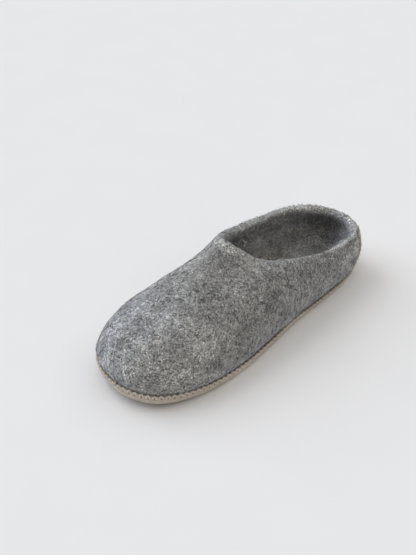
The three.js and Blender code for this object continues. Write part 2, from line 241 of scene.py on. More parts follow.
def evenTurns(around):
    # turns spaced evenly by length round the sole, so that small detail keeps one size
    fine = np.linspace(0, 2 * math.pi, 4001)
    run = runAlong(outlinePoint(fine))
    halfway = run[2000]
    first = np.interp(np.linspace(0, halfway, around // 2, endpoint=False), run, fine)
    second = 2 * math.pi - first[1:][::-1]
    return np.concatenate([first, [math.pi], second])


def gridNormals(grid, looped=True):
    if looped:
        along = np.roll(grid, -1, 1) - np.roll(grid, 1, 1)
    else:
        along = np.gradient(grid, axis=1)
    up = np.gradient(grid, axis=0)
    normal = np.cross(up, along)
    return normal / np.maximum(np.linalg.norm(normal, axis=-1, keepdims=True), 1e-9)


def lumps(points, size, seed):
    # soft noise from -1 to 1 at each point, lumps of that size in millimetres
    shift = Vector((seed * 13.7, seed * 5.1, seed * 9.3))  # another stretch for each seed
    flat = points.reshape(-1, 3) / size
    return np.array([noise.noise(Vector(p) + shift) for p in flat]).reshape(points.shape[:-1])


def toMesh(name, points, faces, material):
    spots = np.array(points, float).reshape(-1, 3)
    spots[:, :2] += last["origin"]
    mesh = bpy.data.meshes.new(name)
    mesh.from_pydata((spots * mm).tolist(), [], faces)
    mesh.validate()
    mesh.update()
    mesh.polygons.foreach_set("use_smooth", [True] * len(mesh.polygons))
    piece = bpy.data.objects.new(name, mesh)
    scene.collection.objects.link(piece)
    mesh.materials.append(material)
    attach(piece, "root")
    return piece


def ringFaces(ringCount, around, looped, flip=False):
    faces = []
    bands = ringCount if looped else ringCount - 1
    for r in range(bands):
        here, there = r * around, ((r + 1) % ringCount) * around
        for i in range(around):
            j = (i + 1) % around
            quad = (here + i, there + i, there + j, here + j)
            faces.append(quad[::-1] if flip else quad)
    return faces


def capAcross(points, ring, around, across, flip, shape=None):
    # closes a ring with rungs from side to side, each cut into short steps
    faces, rungs = [], []
    half = around // 2
    for i in range(1, half):
        a, b = ring + i, ring + around - i
        rung = [a]
        for k in range(1, across):
            t = k / across
            spot = points[a] * (1 - t) + points[b] * t
            if shape:
                spot = spot + shape(spot, t)
            rung.append(len(points))
            points.append(spot)
        rungs.append(rung + [b])
    for one, two in zip(rungs, rungs[1:]):
        for k in range(across):
            faces.append((one[k], two[k], two[k + 1], one[k + 1]))
    for k in range(across):
        faces.append((ring, rungs[0][k], rungs[0][k + 1]))
        faces.append((ring + half, rungs[-1][k + 1], rungs[-1][k]))
    return [face[::-1] for face in faces] if flip else faces


def threadTube(path, radius, sides=7):
    # closed tube along a path with tapered ends; returns points and faces
    path = np.asarray(path, float)
    count = len(path)
    ahead = np.gradient(path, axis=0)
    ahead /= np.linalg.norm(ahead, axis=1, keepdims=True)
    helper = np.array([0.31, 0.17, 0.93])  # a direction that no thread follows
    across = np.cross(ahead, helper)
    across /= np.maximum(np.linalg.norm(across, axis=1, keepdims=True), 1e-9)
    beside = np.cross(ahead, across)
    radii = np.broadcast_to(radius, (count,))
    angles = np.arange(sides) * 2 * math.pi / sides
    points = [path[0]]
    for k in range(1, count - 1):
        for angle in angles:
            points.append(path[k] + radii[k] * (math.cos(angle) * across[k]
                                                + math.sin(angle) * beside[k]))
    points.append(path[-1])
    faces = []
    for s in range(sides):
        n = (s + 1) % sides
        faces.append((0, 1 + n, 1 + s))
        tail = 1 + (count - 3) * sides
        faces.append((len(points) - 1, tail + s, tail + n))
    for k in range(count - 3):
        for s in range(sides):
            n = (s + 1) % sides
            a, b = 1 + k * sides, 1 + (k + 1) * sides
            faces.append((a + s, a + n, b + n, b + s))
    return np.array(points), faces


def gatherTubes(name, tubes, material):
    # many closed tubes as one piece
    points, faces, base = [], [], 0
    for spots, sides in tubes:
        points.append(spots)
        faces.extend(tuple(base + i for i in face) for face in sides)
        base += len(spots)
    return toMesh(name, np.concatenate(points), faces, material)


def setSockets(node, values):
    for socket, value in values.items():
        node.inputs[socket].default_value = value


def newFinish(name, rough, sheen=0.0, sheenRough=0.5, sheenTint=(1, 1, 1)):
    material = bpy.data.materials.new(name)
    material.use_nodes = True
    tree = material.node_tree
    shader = tree.nodes["Principled BSDF"]
    setSockets(shader, {"Roughness": rough, "Specular IOR Level": 0.25, "Sheen Weight": sheen,
                        "Sheen Roughness": sheenRough, "Sheen Tint": (*sheenTint, 1)})
    return material, tree, shader


def noiseOf(tree, size, detail=3, rough=0.55, warp=0.0, kind="FBM"):
    # size is in millimetres; the space is moved off zero, where noise shows a ring
    moved = tree.nodes.get("movedSpace")
    if not moved:
        moved = tree.nodes.new("ShaderNodeVectorMath")
        moved.name = "movedSpace"
        moved.inputs[1].default_value = (0.31, 0.17, 0.23)
        coordinates = tree.nodes.new("ShaderNodeTexCoord")
        tree.links.new(coordinates.outputs["Object"], moved.inputs[0])
    node = tree.nodes.new("ShaderNodeTexNoise")
    node.noise_type = kind
    setSockets(node, {"Scale": 1 / (size * mm), "Detail": detail, "Roughness": rough,
                      "Distortion": warp})
    tree.links.new(moved.outputs["Vector"], node.inputs["Vector"])
    return node.outputs["Fac"]


def rampOf(tree, factor, stops):
    node = tree.nodes.new("ShaderNodeValToRGB")
    ramp = node.color_ramp
    while len(ramp.elements) < len(stops):
        ramp.elements.new(0.5)
    for element, (at, colour) in zip(ramp.elements, stops):
        element.position = at
        element.color = (*colour, 1)
    tree.links.new(factor, node.inputs["Fac"])
    return node.outputs["Color"]


def mixColours(tree, factor, first, second, blend="MIX"):
    node = tree.nodes.new("ShaderNodeMix")
    node.data_type = "RGBA"
    node.blend_type = blend
    for value, socket in ((factor, node.inputs[0]), (first, node.inputs[6]),
                          (second, node.inputs[7])):
        if isinstance(value, bpy.types.NodeSocket):
            tree.links.new(value, socket)
        elif isinstance(value, (int, float)):
            socket.default_value = value
        else:
            socket.default_value = (*value, 1)
    return node.outputs[2]


def rangeOf(tree, value, low, high, toLow=0.0, toHigh=1.0):
    node = tree.nodes.new("ShaderNodeMapRange")
    setSockets(node, {"From Min": low, "From Max": high, "To Min": toLow, "To Max": toHigh})
    tree.links.new(value, node.inputs["Value"])
    return node.outputs["Result"]


def scaled(colour, level):
    return tuple(c * level for c in colour)


def greyOf(tree, value):
    node = tree.nodes.new("ShaderNodeCombineColor")
    for channel in ("Red", "Green", "Blue"):
        tree.links.new(value, node.inputs[channel])
    return node.outputs["Color"]


def addBump(tree, shader, heights):
    # each height is a socket, its strength and its depth in millimetres, the coarse ones first
    before = None
    for height, strength, depth in heights:
        node = tree.nodes.new("ShaderNodeBump")
        setSockets(node, {"Strength": strength, "Distance": depth * mm})
        tree.links.new(height, node.inputs["Height"])
        if before:
            tree.links.new(before, node.inputs["Normal"])
        before = node.outputs["Normal"]
    tree.links.new(before, shader.inputs["Normal"])


felt = {
    "dark": (0.048, 0.048, 0.049), "mid": (0.214, 0.212, 0.207), "light": (0.61, 0.607, 0.595),
    "fibreSize": 1.15, "strandSize": 1.45, "strandShare": 0.52, "strandLift": 1.1,
    "grainSize": 0.62, "grainLow": 0.4, "grainHigh": 1.66,
    "tuftSize": 6, "tuftDark": (0.74, 0.74, 0.75), "tuftLight": (1.2, 1.2, 1.19),
    "cloudSize": 22, "cloudDark": (0.6, 0.6, 0.61), "cloudLight": (1.4, 1.4, 1.39),
    "warmSize": 9, "warm": (0.23, 0.2, 0.165),
    "rough": 0.95, "sheen": 0.6, "sheenRough": 0.45, "sheenTint": (0.95, 0.985, 1.05),
    "tuftDepth": 0.9, "fibreDepth": 0.5, "grainDepth": 0.2,  # bump, in millimetres
}


def feltFinish(name, warmth, level, painted=False):
    # heathered wool: dark, grey and pale fibres, drifts of shade, and warm spots
    material, tree, shader = newFinish(name, felt["rough"], felt["sheen"], felt["sheenRough"],
                                       felt["sheenTint"])
    fibre = noiseOf(tree, felt["fibreSize"], 4, 0.75, 1.1)
    strand = noiseOf(tree, felt["strandSize"], 3, 0.6, 1.7, "RIDGED_MULTIFRACTAL")
    grain = noiseOf(tree, felt["grainSize"], 2, 0.6)
    tufts = noiseOf(tree, felt["tuftSize"], 3, 0.6, 1.2)
    cloud = noiseOf(tree, felt["cloudSize"], 3, 0.55, 0.6)
    heather = rampOf(tree, fibre, [
        (0.36, scaled(felt["dark"], level)), (0.5, scaled(felt["mid"], level)),
        (0.66, scaled(felt["light"], level))])
    pale = rangeOf(tree, strand, 0.6, 1.1, 0, felt["strandShare"])
    heather = mixColours(tree, pale, heather, scaled(felt["light"], level * felt["strandLift"]))
    shade = rampOf(tree, cloud, [(0.32, felt["cloudDark"]), (0.68, felt["cloudLight"])])
    knot = rampOf(tree, tufts, [(0.32, felt["tuftDark"]), (0.66, felt["tuftLight"])])
    speck = rangeOf(tree, grain, 0.32, 0.68, felt["grainLow"], felt["grainHigh"])
    shades = [shade, knot, greyOf(tree, speck)]
    if painted:
        # the upper's painted light and shade, read from its tone attribute
        painter = tree.nodes.new("ShaderNodeAttribute")
        painter.attribute_name = "tone"
        shades.append(painter.outputs["Color"])
    for layer in shades:
        heather = mixColours(tree, 1.0, heather, layer, "MULTIPLY")
    warmSpots = rangeOf(tree, noiseOf(tree, felt["warmSize"], 2, 0.5), 0.45, 0.75, 0, warmth)
    heather = mixColours(tree, warmSpots, heather, felt["warm"])
    tree.links.new(heather, shader.inputs["Base Color"])
    addBump(tree, shader, [(tufts, 0.45, felt["tuftDepth"]), (fibre, 0.5, felt["fibreDepth"]),
                           (grain, 0.4, felt["grainDepth"])])
    return material


suede = {
    "base": (0.54, 0.475, 0.4), "pale": (0.7, 0.63, 0.545), "dark": (0.37, 0.31, 0.25),
    "dirt": (0.27, 0.235, 0.195),
    "cloudSize": 14, "napSize": 1.1, "napShare": 0.35, "poreSize": 0.45, "dirtSize": 22,
    "rough": 0.9, "sheen": 0.25, "sheenRough": 0.5, "sheenTint": (1, 0.95, 0.88),
    "napDepth": 0.35, "poreDepth": 0.15,  # bump, in millimetres
}


def suedeFinish(name, worn):
    material, tree, shader = newFinish(name, suede["rough"], suede["sheen"], suede["sheenRough"],
                                       suede["sheenTint"])
    cloud = noiseOf(tree, suede["cloudSize"], 4, 0.6, 0.8)
    nap = noiseOf(tree, suede["napSize"], 4, 0.7, 0.8)
    pore = noiseOf(tree, suede["poreSize"], 2, 0.6)
    colour = rampOf(tree, cloud, [(0.3, suede["dark"]), (0.5, suede["base"]),
                                  (0.72, suede["pale"])])
    colour = mixColours(tree, suede["napShare"], colour, rampOf(
        tree, nap, [(0.32, suede["dark"]), (0.68, suede["pale"])]))
    dirt = rangeOf(tree, noiseOf(tree, suede["dirtSize"], 5, 0.7, 1.0), 0.5, 0.72, 0, worn)
    colour = mixColours(tree, dirt, colour, suede["dirt"])
    tree.links.new(colour, shader.inputs["Base Color"])
    addBump(tree, shader, [(nap, 0.5, suede["napDepth"]), (pore, 0.5, suede["poreDepth"])])
    return material


thread = {"strandSize": 0.5, "rough": 0.75, "sheen": 0.2, "depth": 0.15}


def threadFinish(name, colour, dark):
    material, tree, shader = newFinish(name, thread["rough"], thread["sheen"])
    strands = noiseOf(tree, thread["strandSize"], 2, 0.5, 2.0)
    tree.links.new(rampOf(tree, strands, [(0.35, dark), (0.65, colour)]),
                   shader.inputs["Base Color"])
    addBump(tree, shader, [(strands, 0.6, thread["depth"])])
    return material


feltOutside = feltFinish("feltOutside", 0.14, 1.13, painted=True)
feltInside = feltFinish("feltFootbed", 0.7, 0.92)
suedeSole = suedeFinish("suedeSole", 0.35)
suedePatch = suedeFinish("suedePatch", 0.15)
sewingThread = threadFinish("sewingThread", (0.8, 0.745, 0.65), (0.58, 0.52, 0.44))
# near-black brown: painted shade inside the needle holes
holeShadeFinish = threadFinish("needleHoleShade", (0.15, 0.12, 0.092), (0.085, 0.067, 0.05))
paleWool = threadFinish("paleWool", (0.66, 0.66, 0.645), (0.48, 0.48, 0.47))
tuftWool = threadFinish("tuftWool", (0.95, 0.95, 0.93), (0.88, 0.88, 0.86))
darkWool = threadFinish("darkWool", (0.075, 0.075, 0.08), (0.04, 0.04, 0.045))
print("finishes made")

upperParts = {
    "around": 340, "wallRows": 92, "wallCrowding": 1.25, "rimRows": 13,
    "tuckRows": 14, "innerTuckRows": 6,
    "lumpHeights": ((26, 0.7), (11, 0.4), (4.5, 0.28)),  # size and height of the lumps
    "rimLumps": 0.9, "innerLumps": 0.8,  # shares of those heights
}
seam = {
    "toeFrom": 0.5, "toeOver": 0.3,  # shares of the length
    "crease": 1.0, "creaseHeight": 0.95, "creaseAt": 0.1,  # groove where the sole is sewn on
    "gapeSides": 0.22, "gapeToe": 0.72, "gapeLumps": 0.75, "gapeSize": 8, "gapeLeast": 0.1,
    "puff": 1.25, "puffAt": 5.5, "puffHeight": 4.5,  # soft roll of felt over the sole's edge
    "puffLateral": 0.2, "puffOver": 50,  # flatter towards the outer side
}


def feltRelief(points):
    relief = 0
    for seed, (size, height) in enumerate(upperParts["lumpHeights"]):
        relief = relief + height * lumps(points, size, seed + 1)
    return relief


def seamRelief(points, turns):
    # the crease along the sole's edge gapes unevenly, most at the toe
    share = shareAt(turns)
    above = points[..., 2] - soleLift(share) - last["lipHeight"] * edgeLip(share)
    toeward = np.clip((share - seam["toeFrom"]) / seam["toeOver"], 0, 1)
    medial = np.clip(0.5 - points[..., 0] / seam["puffOver"], seam["puffLateral"], 1)
    gape = (seam["gapeSides"] + seam["gapeToe"] * toeward
            + seam["gapeLumps"] * lumps(points[:1], seam["gapeSize"], 4))
    crease = np.exp(-((above - seam["creaseAt"]) / seam["creaseHeight"]) ** 2)
    roll = np.exp(-((above - seam["puffAt"]) / seam["puffHeight"]) ** 2)
    return (seam["puff"] * medial * toeward * roll
            - seam["crease"] * np.maximum(gape, seam["gapeLeast"]) * crease)


def ease(low, high, value):
    t = np.clip((value - low) / (high - low), 0, 1)
    return t * t * (3 - 2 * t)


# painted light and shade, multiplied into the upper's felt colour through its tone attribute
paintedLightAndShade = {
    # where a shade starts and where it is full, as shares of the length
    "toe": (0.62, 0.86), "heel": (0.34, 0.08), "paintedLowLightEnd": (0.26, 0.42), "sunHeel": (0.24, 0.1),
    "nearAlong": (0.4, 0.5), "cornerAlong": (0.26, 0.14),
    # the same in millimetres towards the outer side
    "sunAcross": (6, 30), "nearAcross": (-10, 15), "cornerAcross": (-16, 4),
    # and in millimetres below the rim
    "paintedLowLight": (11, 18), "rimBelow": (3.2, 0.4),
    # how light each painted light or shade is
    "toeLighter": 0.16, "heelLighter": 0.2, "lateralDarker": 0.1, "lateralOver": 60,
    "paintedWallShade": 0.52, "paintedLowLightGain": 0.68, "paintedLowLightFade": 0.75, "sunlit": 1.25, "sunDown": 1.2,
    "rimLevel": 1.2, "rim": 0.97, "rimNear": 0.3,
    # red and blue of the outside, and how much of them each shade takes or gives
    "red": 1.01, "blue": 0.965, "toeCool": (0.045, 0.105), "paintedLowLightWarm": (0.03, 0.05),
    "sunCool": (0.03, 0.11), "corner": (0.2, 0.17, 0.09),
}


def paintedLightOutside(points):
    # painted light and shade: lighter and cooler over the toe, lighter again round the heel, darker
    # along the outer side between them
    share = 0.5 - points[..., 1] / last["length"]
    lateral = np.clip(0.5 + points[..., 0] / paintedLightAndShade["lateralOver"], 0, 1)
    toe, heel = ease(*paintedLightAndShade["toe"], share), ease(*paintedLightAndShade["heel"], share)
    cool = toe * (1 - lateral)
    lessRed, moreBlue = paintedLightAndShade["toeCool"]
    level = (1 + paintedLightAndShade["toeLighter"] * toe + paintedLightAndShade["heelLighter"] * heel
             - paintedLightAndShade["lateralDarker"] * lateral * (1 - toe) * (1 - heel))
    return np.stack([level * (paintedLightAndShade["red"] - lessRed * cool), level,
                     level * (paintedLightAndShade["blue"] + moreBlue * cool)], -1)


def paintedLightInside(points, rimTop):
    # painted shade, dark under the rim; painted light, warmer and lighter towards the footbed;
    # cooler painted sunlight at the heel's outer side; and a painted highlight just under the rim
    share = 0.5 - points[..., 1] / last["length"]
    deep = rimTop - points[..., 2]
    # painted light lower on the wall, less of it towards the toe
    paintedLowLight = (ease(*paintedLightAndShade["paintedLowLight"], deep)
              * (1 - paintedLightAndShade["paintedLowLightFade"] * ease(*paintedLightAndShade["paintedLowLightEnd"], share)))
    sunlit = (ease(*paintedLightAndShade["sunHeel"], share)
              * ease(*paintedLightAndShade["sunAcross"], points[..., 0] + paintedLightAndShade["sunDown"] * deep))
    # painted shade under the rim, lifted by the painted light lower down
    level = paintedLightAndShade["paintedWallShade"] + paintedLightAndShade["paintedLowLightGain"] * paintedLowLight
    level = level + (paintedLightAndShade["sunlit"] - level) * sunlit
    level = level + (paintedLightAndShade["rimLevel"] - level) * ease(*paintedLightAndShade["rimBelow"], deep)
    moreRed, lessBlue = paintedLightAndShade["paintedLowLightWarm"]
    lessRed, moreBlue = paintedLightAndShade["sunCool"]
    return np.stack([level * (1 + moreRed * paintedLowLight - lessRed * sunlit), level,
                     level * (1 - lessBlue * paintedLowLight + moreBlue * sunlit)], -1)


def paintLightOnUpper(piece, rings, rimStart, rimEnd, insideTop):
    # paints light and shade into the upper's tone attribute
    shades = paintedLightOutside(rings)
    roll = rings[rimStart:rimEnd]
    near = np.maximum(ease(*paintedLightAndShade["nearAcross"], roll[..., 0]),
                      ease(*paintedLightAndShade["nearAlong"], 0.5 - roll[..., 1] / last["length"]))
    # painted highlight along the rim, strongest on its near side
    shades[rimStart:rimEnd] *= (paintedLightAndShade["rim"] + paintedLightAndShade["rimNear"] * near)[..., None]
    shades[rimEnd:] = paintedLightInside(rings[rimEnd:], insideTop)
    # the inner half of the rim is shaded like the inside at the outer corner of the heel
    innerStart = rimEnd - upperParts["rimRows"] // 2
    half = rings[innerStart:rimEnd]
    corner = (ease(*paintedLightAndShade["cornerAlong"], 0.5 - half[..., 1] / last["length"])
              * ease(*paintedLightAndShade["cornerAcross"], half[..., 0]))
    shades[innerStart:rimEnd] *= 1 - corner[..., None] * np.array(paintedLightAndShade["corner"])
    painted = piece.data.attributes.new("tone", "FLOAT_VECTOR", "POINT")
    painted.data.foreach_set("vector", shades.ravel())


def rollRim(outer, inner):
    # half a round of felt from the outer edge over to the inner one
    upward = outer[-1] - outer[-2]
    upward /= np.linalg.norm(upward, axis=1, keepdims=True)
    centre = (outer[-1] + inner[-1]) / 2
    rim = []
    for k in range(1, upperParts["rimRows"] + 1):
        swing = math.pi * k / (upperParts["rimRows"] + 1)
        rim.append(centre + (outer[-1] - centre) * math.cos(swing)
                   + upward * last["feltWall"] / 2 * math.sin(swing))
    rim = np.array(rim)
    normals = rim - centre
    return rim, normals / np.linalg.norm(normals, axis=-1, keepdims=True)


def buildUpper():
    turns = evenTurns(upperParts["around"])
    rows = np.linspace(0, 1, upperParts["wallRows"] + 1) ** upperParts["wallCrowding"]
    outer = wallGrid(turns, rows)
    angles = (math.pi / 2) * (1 - np.arange(upperParts["tuckRows"]) / upperParts["tuckRows"])
    tuck = np.array([tuckPoint(turns, angle) for angle in angles])
    inner = outer - last["feltWall"] * gridNormals(outer)
    flat = outlineNormal(turns)
    inner[0] = outer[0] - last["feltWall"] * np.concatenate([flat, 0 * flat[:, :1]], 1)
    step = upperParts["tuckRows"] // upperParts["innerTuckRows"]
    innerTuck = np.array([tuckPoint(turns, angle, 0, last["feltWall"])
                          for angle in angles[::step]])
    rim, rimNormals = rollRim(outer, inner)

    outside = np.concatenate([tuck, outer])
    normals = gridNormals(outside)
    relief = feltRelief(outside)
    relief[:2] = 0  # the lowest rings keep their place on the sole
    outside = outside + normals * (relief + seamRelief(outside, turns))[..., None]
    rim = rim + rimNormals * (feltRelief(rim) * upperParts["rimLumps"])[..., None]
    inside = np.concatenate([innerTuck, inner])
    innerNormals = -gridNormals(inside)
    innerRelief = feltRelief(inside) * upperParts["innerLumps"]
    innerRelief[:3] = 0
    inside = inside + innerNormals * innerRelief[..., None]

    rings = np.concatenate([outside, rim, inside[::-1]])
    faces = ringFaces(len(rings), len(turns), True, flip=True)
    piece = toMesh("woolUpper", rings, faces, feltOutside)
    paintLightOnUpper(piece, rings, len(outside) - 3, len(outside) + len(rim), inside[-1, :, 2])
    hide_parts("upper")
    return outside, normals, rim, rimNormals, inside, innerNormals


outside, outsideNormals, rim, rimNormals, inside, insideNormals = buildUpper()
print("upper built")

solePiece = {
    "around": 700, "across": 36,
    "pitch": 4.75, "scallop": 0.9,  # the edge dips between the stitches
    "pinch": 0.75, "pinchAt": 0.72, "pinchHeight": 0.2,  # and is drawn in at each of them
    "crownShare": 0.45, "bulge": 0.1,
    "cornerRings": 6, "faceRings": 8, "crownRings": 5, "innerRings": 7,
    "nap": (3.2, 0.12), "waves": (17, 0.25),  # size and height
}


def stitchTurns(pitch):
    # turns of the stitches, the distance round the sole with its turns, and the count
    fine = np.linspace(0, 2 * math.pi, 6001)
    run = runAlong(outlinePoint(fine))
    count = int(round(run[-1] / pitch))
    return np.interp(np.arange(count) * run[-1] / count, run, fine), run, fine, count


sewTurns, sewRun, sewFine, sewCount = stitchTurns(solePiece["pitch"])


def soleRing(turns, inset, height):
    share = shareAt(turns)
    base, normal = outlinePoint(turns), outlineNormal(turns)
    return np.stack([base[:, 0] - normal[:, 0] * inset, base[:, 1] - normal[:, 1] * inset,
                     soleLift(share) + height], -1)


def lipFace(turns):
    # height of the lip, its angle on the tuck and how far in its outer face stands
    share = shareAt(turns)
    lip = last["lipHeight"] * edgeLip(share)
    angle = tuckAngle(share, lip)
    face = (last["tuckDepth"] * edgeTuck(share) * (1 - np.cos(angle))
            - last["clearance"] - last["lipThickness"])
    return lip, angle, face


def soleRings(turns):
    # rings from the lower edge up the outer face, over the lip and down along the felt
    lip, angle, face = lipFace(turns)
    phase = np.interp(turns, sewFine, sewRun) / sewRun[-1] * sewCount
    dip = 0.5 - 0.5 * np.cos(2 * math.pi * phase)  # 0 above a needle hole
    scallop = solePiece["scallop"] * dip
    corner, crown = last["cornerShare"] * lip, last["lipThickness"] * solePiece["crownShare"]
    taper = last["soleTaper"]
    rings = []
    for bend in np.linspace(0, math.pi / 2, solePiece["cornerRings"]):
        rings.append(soleRing(turns, face + taper + corner * (1 - math.sin(bend)),
                              corner * (1 - math.cos(bend))))
    for k in range(1, solePiece["faceRings"]):
        t = k / solePiece["faceRings"]
        near = math.exp(-((t - solePiece["pinchAt"]) / solePiece["pinchHeight"]) ** 2)
        pinch = solePiece["pinch"] * (1 - dip) ** 2 * near
        bulge = solePiece["bulge"] * math.sin(math.pi * t)
        rings.append(soleRing(turns, face + taper * (1 - t) - bulge + pinch,
                              corner + (lip - crown - scallop - corner) * t))
    for bend in np.linspace(0, math.pi / 2, solePiece["crownRings"]):
        rings.append(soleRing(turns, face + crown * (1 - math.cos(bend)),
                              lip - scallop - crown + crown * math.sin(bend)))
    for t in np.linspace(0, 1, solePiece["innerRings"]):
        ring = tuckPoint(turns, angle + (math.pi / 2 - angle) * t, last["clearance"])
        ring[:, 2] -= scallop * (1 - t) ** 3
        rings.append(ring)
    return np.array(rings)


def buildSole():
    turns = evenTurns(solePiece["around"])
    rings = soleRings(turns)
    rough = sum(lumps(rings, size, seed) * height for seed, (size, height)
                in ((7, solePiece["nap"]), (8, solePiece["waves"])))
    amount = np.ones(len(rings))
    amount[:2] = 0  # smooth on the floor
    amount[-solePiece["innerRings"]:] = 0  # and against the felt
    rings[..., :2] += outlineNormal(turns)[None] * (rough * amount[:, None])[..., None]
    points = list(rings.reshape(-1, 3))
    around = len(turns)
    faces = ringFaces(len(rings), around, False, flip=True)
    faces += capAcross(points, 0, around, solePiece["across"], False)
    faces += capAcross(points, (len(rings) - 1) * around, around, 6, True)
    piece = toMesh("suedeSole", np.array(points), faces, suedeSole)
    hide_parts("outsole")


buildSole()
print("sole built")

sewing = {
    "thread": 0.36, "proud": 0.28, "reach": 0.47,  # reach is a share of the pitch
    "foot": 1.9, "footMost": 0.3,  # how far down, at most a share of the lip
    "turnIn": 0.55, "intoFelt": 1.2,  # the stroke then goes into the felt
    # the slot is the dark tube of painted shade in each needle hole
    "slot": 0.36, "slotTop": 1.3, "slotLow": 3.2, "slotTopMost": 0.2, "slotLowMost": 0.5,
    "uneven": (0.09, 0.3, 0.16),  # along, down and in thickness
}


def lipAt(turn):
    lip, angle, face = lipFace(np.array([turn]))
    return float(lip[0]), float(face[0])


def edgeSpot(turn, inset, height):
    return soleRing(np.array([turn]), inset, height)[0]


def sewSole():
    # a zigzag of thread over the edge, with a dark tube of painted shade in a needle hole under
    # each peak
    tubes, holeShades = [], []
    draw = np.random.default_rng(5)
    spacing = sewRun[-1] / sewCount
    for k in range(sewCount):
        stray, droop, thick = draw.normal(size=3) * sewing["uneven"]
        for side in (-1, 1):
            path = []
            for t in np.linspace(0, 1, 7):
                along = (k + stray + (sewing["reach"] * side - stray) * (1 - t)) * spacing
                turn = np.interp(along % sewRun[-1], sewRun, sewFine)
                lip, face = lipAt(turn)
                foot = min(sewing["foot"], lip * sewing["footMost"])
                inward = max(t - sewing["turnIn"], 0) / (1 - sewing["turnIn"])
                inset = (last["lipThickness"] + sewing["intoFelt"]) * inward ** 1.6
                proud = sewing["proud"] * math.sin(math.pi * min(t * 1.2, 1))
                height = lip - foot + (foot - abs(droop)) * math.sin(t * math.pi / 2)
                path.append(edgeSpot(turn, face - proud + inset, height))
            radii = sewing["thread"] * (1 + thick) * np.array([0.4, 0.8, 1, 1, 1, 0.9, 0.5])
            tubes.append(threadTube(path, radii))
        # painted shade: a dark tube in the needle hole under the peak
        lip, face = lipAt(sewTurns[k])
        top = min(sewing["slotTop"], lip * sewing["slotTopMost"])
        low = min(sewing["slotLow"], lip * sewing["slotLowMost"]) + 0.6 * droop
        path = [edgeSpot(sewTurns[k], face + solePiece["pinch"] * 0.6, lip - low + (low - top) * t)
                for t in (0, 0.12, 0.5, 0.88, 1)]
        wide = sewing["slot"] * (1 - 1.5 * abs(thick))
        holeShades.append(threadTube(path, wide * np.array([0, 0.75, 1, 0.75, 0])))
    gatherTubes("soleStitches", tubes, sewingThread)
    gatherTubes("needleHoleShades", holeShades, holeShadeFinish)


sewSole()
print("sole sewn", sewCount, "stitches")

insolePiece = {
    "around": 300, "across": 60, "round": 1.75, "cornerRings": 6,
    "dish": 1.1, "bumps": ((9, 0.35), (3.5, 0.3)),  # trodden in; size and height
}


def buildInsole():
    turns = evenTurns(insolePiece["around"])
    edge = (last["tuckDepth"] * edgeTuck(shareAt(turns)) + last["feltWall"] + last["clearance"])
    curve, thick = insolePiece["round"], last["footbed"]

    def ringOf(shift, height):
        return soleRing(turns, edge + shift, feather + height)

    def dished(spot, t):
        deep = insolePiece["dish"] * math.sin(math.pi * t) ** 0.8
        bumps = sum(height * noise.noise(Vector(spot / size))
                    for size, height in insolePiece["bumps"])
        return np.array([0, 0, -deep + bumps * min(1, 8 * t * (1 - t))])

    rings = [ringOf(0, 0), ringOf(0, (thick - curve) / 2)]
    for bend in np.linspace(0, math.pi / 2, insolePiece["cornerRings"]):
        rings.append(ringOf(curve * (1 - math.cos(bend)),
                            thick - curve + curve * math.sin(bend)))
    points = list(np.array(rings).reshape(-1, 3))
    around = len(turns)
    faces = ringFaces(len(rings), around, False, flip=True)
    faces += capAcross(points, 0, around, 2, False)
    faces += capAcross(points, (len(rings) - 1) * around, around, insolePiece["across"], True,
                       dished)
    piece = toMesh("woolInsole", np.array(points), faces, feltInside)
    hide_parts("insole")


buildInsole()
print("insole built")

patch = {
    "width": 76, "thickness": 1.5, "topDrop": 5, "columns": 150, "rows": 66, "rowCrowding": 1.6,
    "taper": 0.32, "rollIn": 0.8, "nap": 0.1,  # upper corners, edges and suede
    "pitch": 5.0, "scallop": 0.7, "stitchIn": 2.4, "stitchOut": 1.5, "slant": 0.85,
    "thread": 0.44, "hole": 0.5,
    "margin": 6, "tableLow": 1.3, "tableTop": 44,  # how far the heel's form is measured
}


def heelTable():
    # the felt's outside round the heel: distance round it by height
    fine = np.linspace(0, 1.6, 1601)
    run, runBack = runAlong(outlinePoint(fine)), runAlong(outlinePoint(-fine))
    reach = patch["width"] / 2 + patch["margin"]
    distances = np.linspace(-reach, reach, 181)
    turns = np.mod(np.where(distances < 0, -np.interp(-distances, runBack, fine),
                            np.interp(distances, run, fine)), 2 * math.pi)
    tuckRows = np.array([tuckPoint(turns, angle) for angle in np.linspace(math.pi / 2, 0.02, 40)])
    profile = np.concatenate([tuckRows, wallGrid(turns, np.linspace(0, 1, 80))])
    heights = np.linspace(feather + patch["tableLow"], patch["tableTop"], 160)
    table = np.zeros((len(distances), len(heights), 3))
    for i in range(len(distances)):
        for axis in range(2):
            table[i, :, axis] = np.interp(heights, profile[:, i, 2], profile[:, i, axis])
        table[i, :, 2] = heights
    normal = gridNormals(np.swapaxes(table, 0, 1), looped=False)
    return distances, heights, table, np.swapaxes(normal, 0, 1)


heelDistances, heelHeights, heelSpots, heelNormals = heelTable()


def onHeel(distance, height, offset):
    # spots that far off the felt, by distance round the heel and height
    distance, height = np.asarray(distance, float), np.asarray(height, float)
    i = np.clip(np.interp(distance, heelDistances, np.arange(len(heelDistances))), 0,
                len(heelDistances) - 1.001)
    j = np.clip(np.interp(height, heelHeights, np.arange(len(heelHeights))), 0,
                len(heelHeights) - 1.001)
    a, b = i.astype(int), j.astype(int)
    s, t = (i - a)[..., None], (j - b)[..., None]

    def blend(grid):
        return ((grid[a, b] * (1 - t) + grid[a, b + 1] * t) * (1 - s)
                + (grid[a + 1, b] * (1 - t) + grid[a + 1, b + 1] * t) * s)

    spot, normal = blend(heelSpots), blend(heelNormals)
    level = normal[..., 0] ** 2 + normal[..., 1] ** 2
    lift = np.asarray(offset) + feltRelief(spot)
    flat = np.concatenate([normal[..., :2], 0 * normal[..., 2:]], -1)
    return spot + flat * (lift / level)[..., None]


